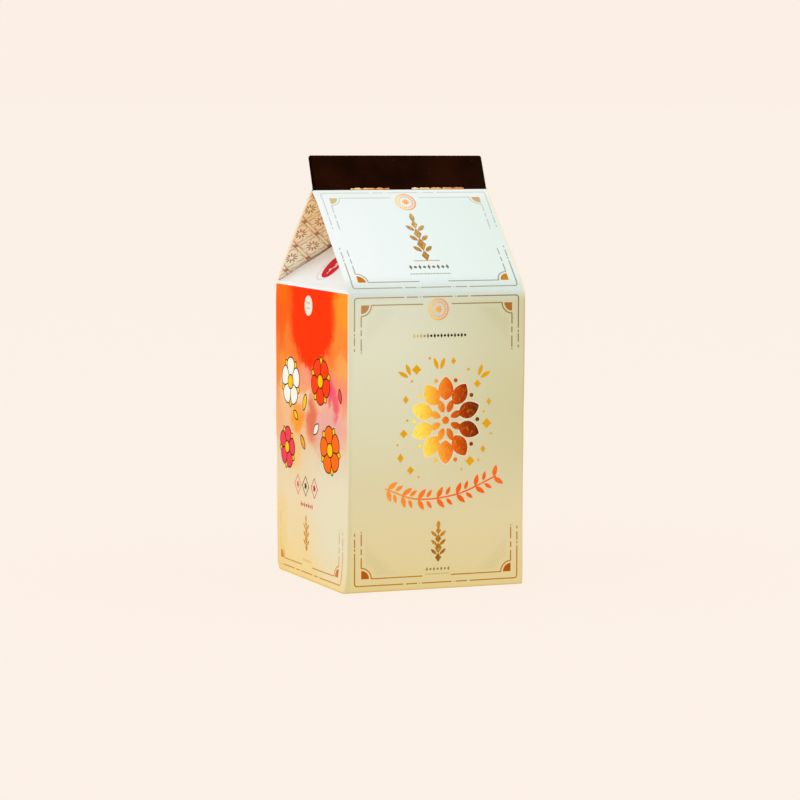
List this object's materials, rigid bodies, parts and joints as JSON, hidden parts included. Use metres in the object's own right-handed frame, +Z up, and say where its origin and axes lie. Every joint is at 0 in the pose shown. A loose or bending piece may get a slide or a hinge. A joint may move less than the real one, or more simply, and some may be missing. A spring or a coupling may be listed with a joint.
{
  "type": "gable-topped carton of sweets",
  "caption": "Shut gable-topped paperboard gift carton of almond sweets: square body, sloping roof with folded-in gussets and a dark foil fin leaning back",
  "frame": {"origin": "middle of the flat underside, on the surface that the carton stands on", "axes": "+Z up, +X along the ridge to the right as the front is seen, front face towards -Y"},
  "size_m": [0.0716, 0.0733, 0.1569],
  "materials": {
    "printed_board": "folded white paperboard printed with a pale cream panel, an orange and red wash on the sides, copper foil ornament and a near-black foil fin"
  },
  "bodies": {
    "root": {"carton": "printed_board"}
  },
  "joints": []
}
